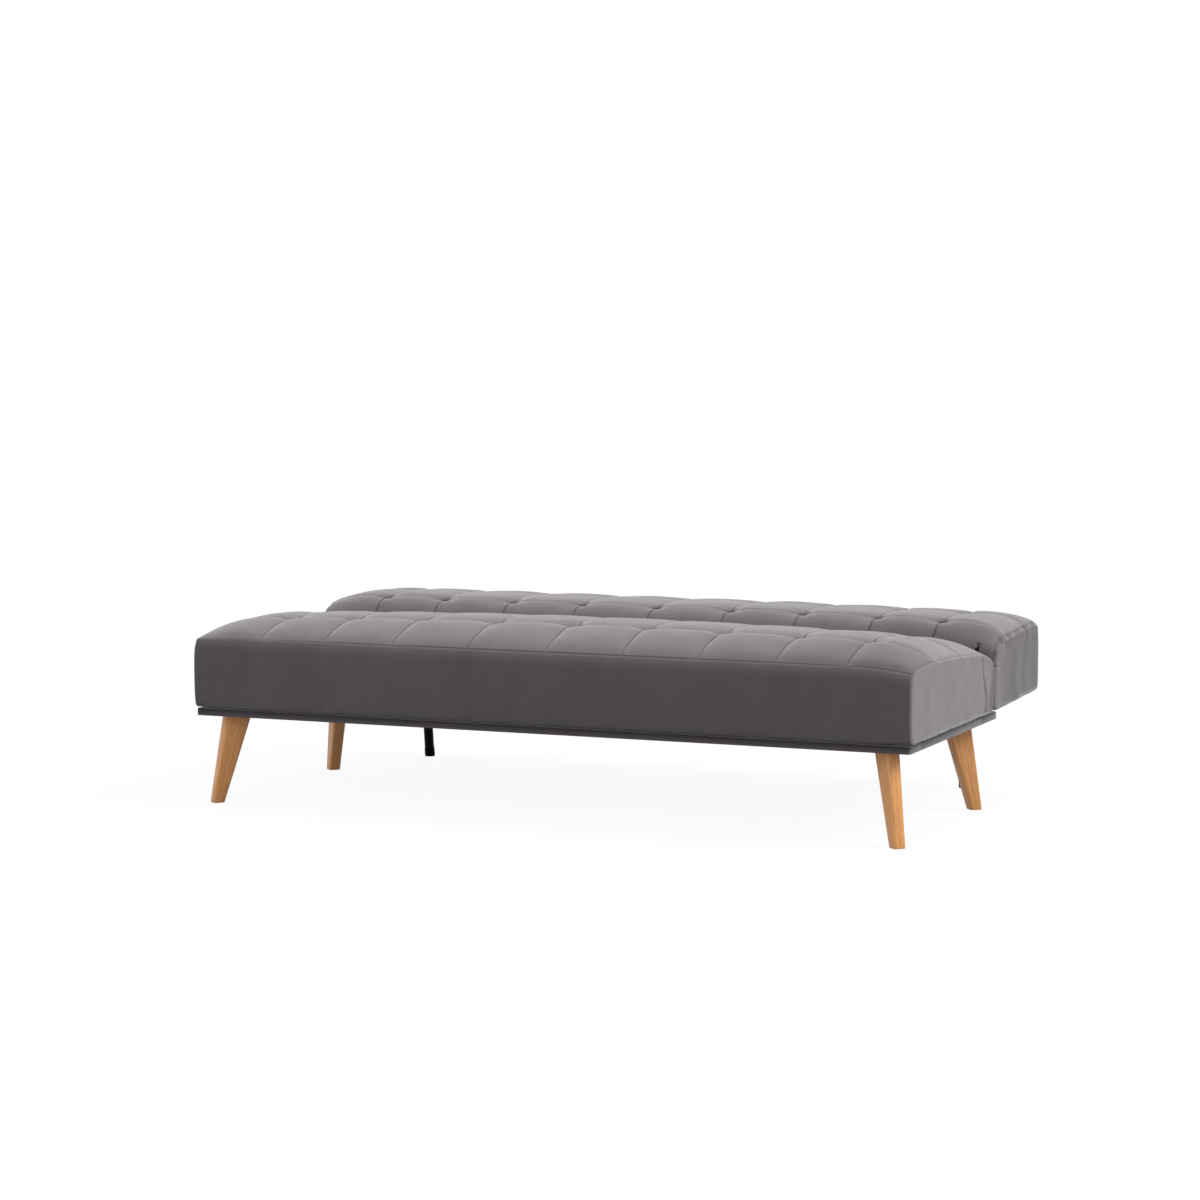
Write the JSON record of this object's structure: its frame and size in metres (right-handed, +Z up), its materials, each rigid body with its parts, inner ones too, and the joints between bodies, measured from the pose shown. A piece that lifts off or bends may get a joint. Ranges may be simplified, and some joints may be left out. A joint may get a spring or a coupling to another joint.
{
  "type": "click clack sofa bed",
  "caption": "Three-seat sofa bed folded flat: tufted velvet seat and backrest on end hinges, padded base, splayed wooden legs, folding steel legs behind.",
  "frame": {"origin": "on the floor under the middle of the sofa bed's outline, lying flat as a bed", "axes": "+X to the right as one faces the front edge, +Y from the front edge to the backrest, +Z up"},
  "size_m": [1.818, 1.1, 0.4629],
  "materials": {
    "velvet": "short pile, matt with a soft sheen",
    "foam": "open cell, matt",
    "leg_wood": "clear satin lacquer",
    "frame_wood": "sawn, unfinished",
    "black_steel": "black powder coat",
    "zinc_steel": "zinc plated",
    "rubber": "matt black",
    "webbing": "woven strap",
    "liner": "thin bonded sheet"
  },
  "bodies": {
    "base": {"base_front_rail": "velvet", "base_rear_rail": "velvet", "base_left_rail": "velvet", "base_cross_rail_left": "frame_wood", "seat_bumper_left": "rubber", "base_hinge_leaf_left": "black_steel", "hinge_pin_left": "zinc_steel", "base_right_rail": "velvet", "base_cross_rail_right": "frame_wood", "seat_bumper_right": "rubber", "base_hinge_leaf_right": "black_steel", "hinge_pin_right": "zinc_steel", "corner_block_front_left": "frame_wood", "leg_front_left": "leg_wood", "leg_bolt_front_left": "zinc_steel", "corner_block_front_right": "frame_wood", "leg_front_right": "leg_wood", "leg_bolt_front_right": "zinc_steel", "corner_block_rear_left": "frame_wood", "leg_rear_left": "leg_wood", "leg_bolt_rear_left": "zinc_steel", "corner_block_rear_right": "frame_wood", "leg_rear_right": "leg_wood", "leg_bolt_rear_right": "zinc_steel"},
    "seat": {"seat_cover": "velvet", "seat_foam": "foam", "seat_dust_cover": "liner", "seat_frame_front": "frame_wood", "seat_frame_rear": "frame_wood", "seat_frame_left": "frame_wood", "seat_frame_right": "frame_wood", "seat_cross_bar_left": "frame_wood", "seat_cross_bar_right": "frame_wood", "seat_webbing_left": "webbing", "seat_webbing_middle": "webbing", "seat_webbing_right": "webbing", "seat_hinge_leaf_left": "black_steel", "seat_hinge_leaf_right": "black_steel"},
    "back": {"back_cover": "velvet", "back_foam": "foam", "back_dust_cover": "liner", "back_frame_front": "frame_wood", "back_frame_rear": "frame_wood", "back_frame_left": "frame_wood", "back_frame_right": "frame_wood", "back_cross_bar_left": "frame_wood", "back_cross_bar_right": "frame_wood", "back_webbing_left": "webbing", "back_webbing_middle": "webbing", "back_webbing_right": "webbing", "back_hinge_leaf_left": "black_steel", "back_hinge_leaf_right": "black_steel", "support_bracket_left": "black_steel", "support_pin_left": "zinc_steel", "support_bracket_right": "black_steel", "support_pin_right": "zinc_steel"},
    "support_leg_left": {"support_leg_tube_left": "black_steel", "support_leg_foot_left": "rubber"},
    "support_leg_right": {"support_leg_tube_right": "black_steel", "support_leg_foot_right": "rubber"}
  },
  "joints": [
    {"name": "seat_lift", "type": "hinge", "parent": "base", "child": "seat", "pos_m": [0, 0.17, 0.37], "axis": [-1, 0, 0], "range_deg": [0, 10]},
    {"name": "back_recline", "type": "hinge", "parent": "base", "child": "back", "pos_m": [0, 0.17, 0.37], "axis": [1, 0, 0], "range_deg": [0, 75]},
    {"name": "support_leg_left_fold", "type": "hinge", "parent": "back", "child": "support_leg_left", "pos_m": [-0.745, 0.393, 0.222], "axis": [-1, 0, 0], "range_deg": [0, 90]},
    {"name": "support_leg_right_fold", "type": "hinge", "parent": "back", "child": "support_leg_right", "pos_m": [0.745, 0.393, 0.222], "axis": [-1, 0, 0], "range_deg": [0, 90]}
  ]
}
